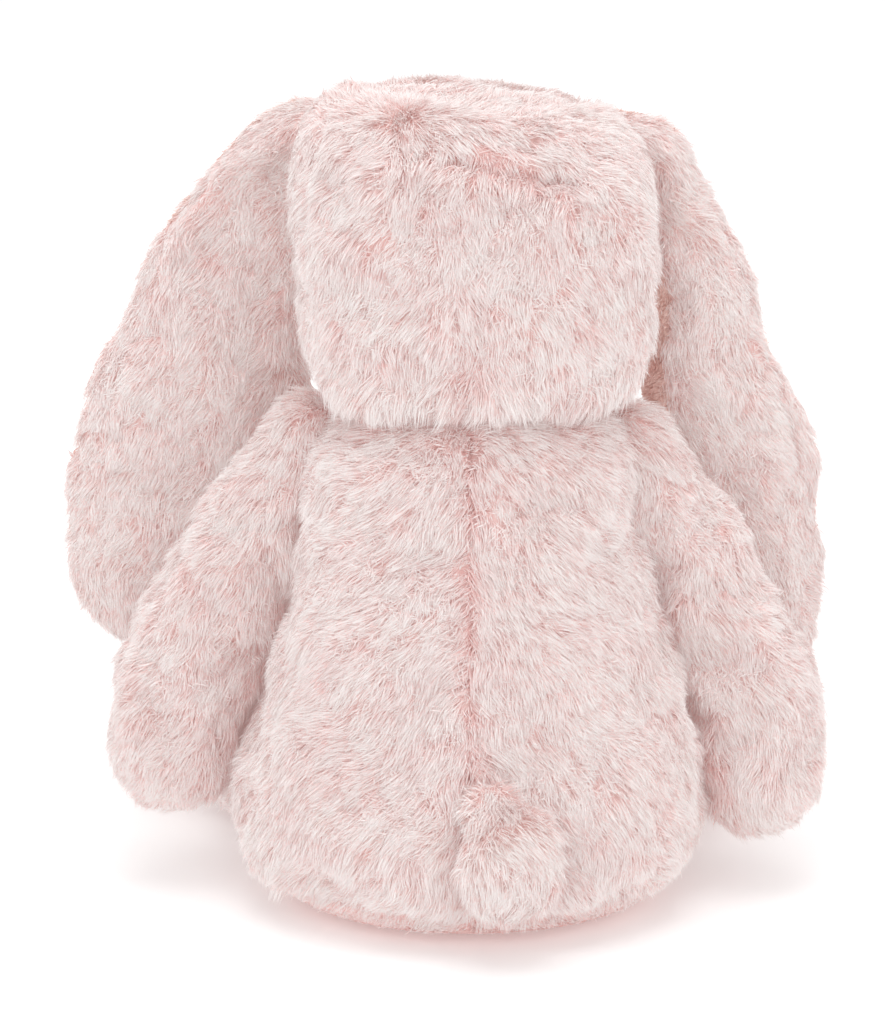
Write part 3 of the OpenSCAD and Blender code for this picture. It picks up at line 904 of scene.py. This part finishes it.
def fur(node, panel, body, comb, pile, seed):
    """A short upright undercoat, and the longer combed pile over it."""
    under = (pile[0] * 0.6, 34)
    sow(f"{node}_undercoat", panel, body, comb, under, DENSE * 0.35, seed + 6,
        PILE, width=0.4, tuft=5, spread=1.6, gather=0.1, wild=0.8)
    sow(f"{node}_pile", panel, body, comb, pile, DENSE, seed, PILE)


def line_with_nap(skin, node, body, seed):
    """A panel of the short-napped lining cloth."""
    cloth_panel(f"{node}_cloth", skin, body, node, LINING_CLOTH)
    sow(f"{node}_nap", skin, body, comb_nap, NAP_OF_LINING, DENSE * 1.5, seed, (NAP, NAP),
        tuft=6, spread=1.2, width=0.5)


def dress_body(skin):
    """Back panels, belly panel and the base with its band."""
    above = lambda m: m[:, 2] > 12
    back = lambda m: above(m) & (m[:, 1] > 2)
    dress(skin, {
        "back_panel_left": lambda m: back(m) & (m[:, 0] > 0),
        "back_panel_right": lambda m: back(m) & (m[:, 0] <= 0),
        "belly_panel": lambda m: above(m) & (m[:, 1] <= 2),
    }, "body", comb_body, PILE_OF["body"], 1000)
    base = skin.part(lambda m: ~above(m))
    cloth_panel("base_panel_cloth", base, "body", "base_panel", PLUSH_CLOTH)
    sow("base_panel_pile", base, "body", comb_body, PILE_OF["base"], DENSE, 1100, PILE)


def dress_head(skin):
    """The crown strip, two back panels and two face panels."""
    crown = lambda m: (np.abs(m[:, 0]) < 22) & (m[:, 2] > 245 - crown_rise(m))
    back = lambda m: ~crown(m) & (m[:, 1] > -4)
    face = lambda m: ~crown(m) & (m[:, 1] <= -4)
    dress(skin, {
        "head_crown": crown,
        "head_back_left": lambda m: back(m) & (m[:, 0] > 0),
        "head_back_right": lambda m: back(m) & (m[:, 0] <= 0),
        "face_left": lambda m: face(m) & (m[:, 0] > 0),
        "face_right": lambda m: face(m) & (m[:, 0] <= 0),
    }, "head", comb_head, PILE_OF["head"], 2000)


def crown_rise(m):
    """How far below the top the crown strip reaches, more at the back than at the brow."""
    return 8 + 15 * smooth(m[:, 1], 0, 30)


def dress_arm(skin, side, word):
    """Back and front panels of an arm, and its stuffing."""
    dress(skin, {
        f"arm_back_{word}": lambda m: m[:, 1] > 2,
        f"arm_front_{word}": lambda m: m[:, 1] <= 2,
    }, f"arm_{word}", comb_arm(side), PILE_OF["arm"], 3000 + 100 * side)
    fibre(f"arm_fibre_{word}", skin, f"arm_{word}", f"arm_stuffing_{word}")


def dress_leg(skin, side, word):
    """Top and under panels of a leg, its sole and its stuffing."""
    sole = lambda m: leg_distance(m, side) > 82.5
    dress(skin, {
        f"leg_top_{word}": lambda m: ~sole(m) & (m[:, 2] > 20),
        f"leg_under_{word}": lambda m: ~sole(m) & (m[:, 2] <= 20),
    }, f"leg_{word}", comb_leg(side), PILE_OF["leg"], 4000 + 100 * side)
    line_with_nap(skin.part(sole), f"foot_sole_{word}", f"leg_{word}", 4500 + side)
    fibre(f"leg_fibre_{word}", skin, f"leg_{word}", f"leg_stuffing_{word}")


def dress_ear(skin, side, word):
    """The furry back is the first half of each ring. On the right ear the lining turns the edge."""
    ring = np.arange(len(skin.faces))
    body_faces = (EAR_ROWS - 1) * EAR_ROUND
    spot = np.where(ring < body_faces, ring % EAR_ROUND, (ring - body_faces) // 2)
    row = np.where(ring < body_faces, ring // EAR_ROUND, 0) / EAR_ROWS
    turned_edge = 8 * smooth(row, 0.12, 0.3) * smooth(0.92 - row, 0, 0.2) if side == RIGHT else 0
    furry = (spot < EAR_ROUND // 2) & (spot >= turned_edge)
    furred = skin.part(lambda m: furry)
    cloth_panel(f"ear_back_cloth_{word}", furred, f"ear_{word}", f"ear_back_{word}", PLUSH_CLOTH)
    fur(f"ear_back_{word}", furred, f"ear_{word}", comb_ear(side), PILE_OF["ear"],
        5000 + 20 * side)
    line_with_nap(skin.part(lambda m: ~furry), f"ear_lining_{word}", f"ear_{word}", 6000 + side)


body, head, tail = body_skin(), head_skin(), tail_skin()
arms = {side: arm_skin(side) for side in (LEFT, RIGHT)}
legs = {side: leg_skin(side) for side in (LEFT, RIGHT)}
ears = {side: ear_skin(side) for side in (LEFT, RIGHT)}
plump([(body, seams_of_body), (head, seams_of_head)]
      + [(arms[side], seams_of_arm) for side in (LEFT, RIGHT)]
      + [(legs[side], seams_of_leg(side)) for side in (LEFT, RIGHT)]
      + [(ears[side], seams_of_ear) for side in (LEFT, RIGHT)])

pouch = pouch_skin(0)
dress_body(body)
fibre("body_fibre", body, "body", "body_stuffing", cavity=pouch_skin(0.8))
soft_piece("pouch_cloth", pouch.points, pouch.faces, POUCH_CLOTH, "body", "bean_pouch")
bean_heap()

dress_head(head)
fibre("head_fibre", head, "head", "head_stuffing")
face_threads("nose_threads", nose_runs(), 0.45, 1.4, head, "nose_stitching")
face_threads("mouth_threads", mouth_runs(), 0.45, 1.0, head, "mouth_stitching")
neck_stitches()

for side, word in ((LEFT, "left"), (RIGHT, "right")):
    dress_arm(arms[side], side, word)
    dress_leg(legs[side], side, word)
    dress_ear(ears[side], side, word)
    for node, mat in ((f"eye_{word}", EYE_PLASTIC), (f"eye_washer_{word}", WASHER_PLASTIC)):
        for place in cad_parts[node].material_slots:
            place.material = mat

cloth_panel("tail_cloth", tail, "body", "tail_cover", PLUSH_CLOTH)
fur("tail", tail, "body", comb_tail, PILE_OF["tail"], 7000)
fibre("tail_fibre", tail, "body", "tail_stuffing", inset=2.2)


# ---------------------------------------------------------------- studio

def floor():
    """A wide pale sheet of paper."""
    mat = mottled("floor_paper", (0.94, 0.94, 0.94), (0.96, 0.96, 0.96), 0.9, 3, 0.02, 900.0,
                  Emission_Color=(1, 1, 1, 1), Emission_Strength=0.16)
    turn = np.linspace(0, 2 * math.pi, 64, endpoint=False)
    rings = np.concatenate([np.column_stack([r * np.cos(turn), r * np.sin(turn), 0 * turn])
                            for r in (0.6, 4, 100)])
    faces = [tuple(range(64))]
    for r in range(2):
        for k in range(64):
            j = (k + 1) % 64
            faces.append((r * 64 + k, (r + 1) * 64 + k, (r + 1) * 64 + j, r * 64 + j))
    new_object("floor", rings, faces, [mat])


def softbox(name, place, size, power):
    """A round soft light that faces the rabbit."""
    lamp = bpy.data.lights.new(name, "AREA")
    lamp.shape, lamp.size, lamp.energy = "DISK", size, power
    obj = bpy.data.objects.new(name, lamp)
    obj.location = place
    obj.rotation_euler = (Vector((0, 0, 0.11)) - Vector(place)).to_track_quat("-Z", "Y").to_euler()
    bpy.context.scene.collection.objects.link(obj)


def studio():
    """Even white light from all round, four soft lights, and the camera behind the rabbit."""
    scene = bpy.context.scene
    scene.world = bpy.data.worlds.new("studio")
    scene.world.use_nodes = True
    back = scene.world.node_tree.nodes["Background"]
    back.inputs["Color"].default_value = (1.0, 1.0, 1.0, 1)
    back.inputs["Strength"].default_value = 0.88
    scene.view_settings.view_transform = "Standard"
    scene.cycles.diffuse_bounces = 6
    softbox("softbox_top", (0.0, 0.2, 1.6), 1.2, 7)
    softbox("softbox_near_left", (0.9, 1.6, 1.0), 1.3, 2.4)
    softbox("softbox_near_right", (-0.9, 1.6, 0.9), 1.3, 2)
    softbox("softbox_front", (0.3, -1.6, 1.0), 1.2, 2)
    lens = bpy.data.cameras.new("camera")
    lens.sensor_fit, lens.sensor_height, lens.lens = "VERTICAL", 24, 93.75
    camera = bpy.data.objects.new("camera", lens)
    target, high = Vector((0.0081, 0, 0.1168)), math.radians(14)
    away = Vector((0, math.cos(high), math.sin(high)))
    camera.location = target + 1.2 * away
    camera.rotation_euler = (-away).to_track_quat("-Z", "Y").to_euler()
    scene.collection.objects.link(camera)
    scene.camera = camera


floor()
studio()
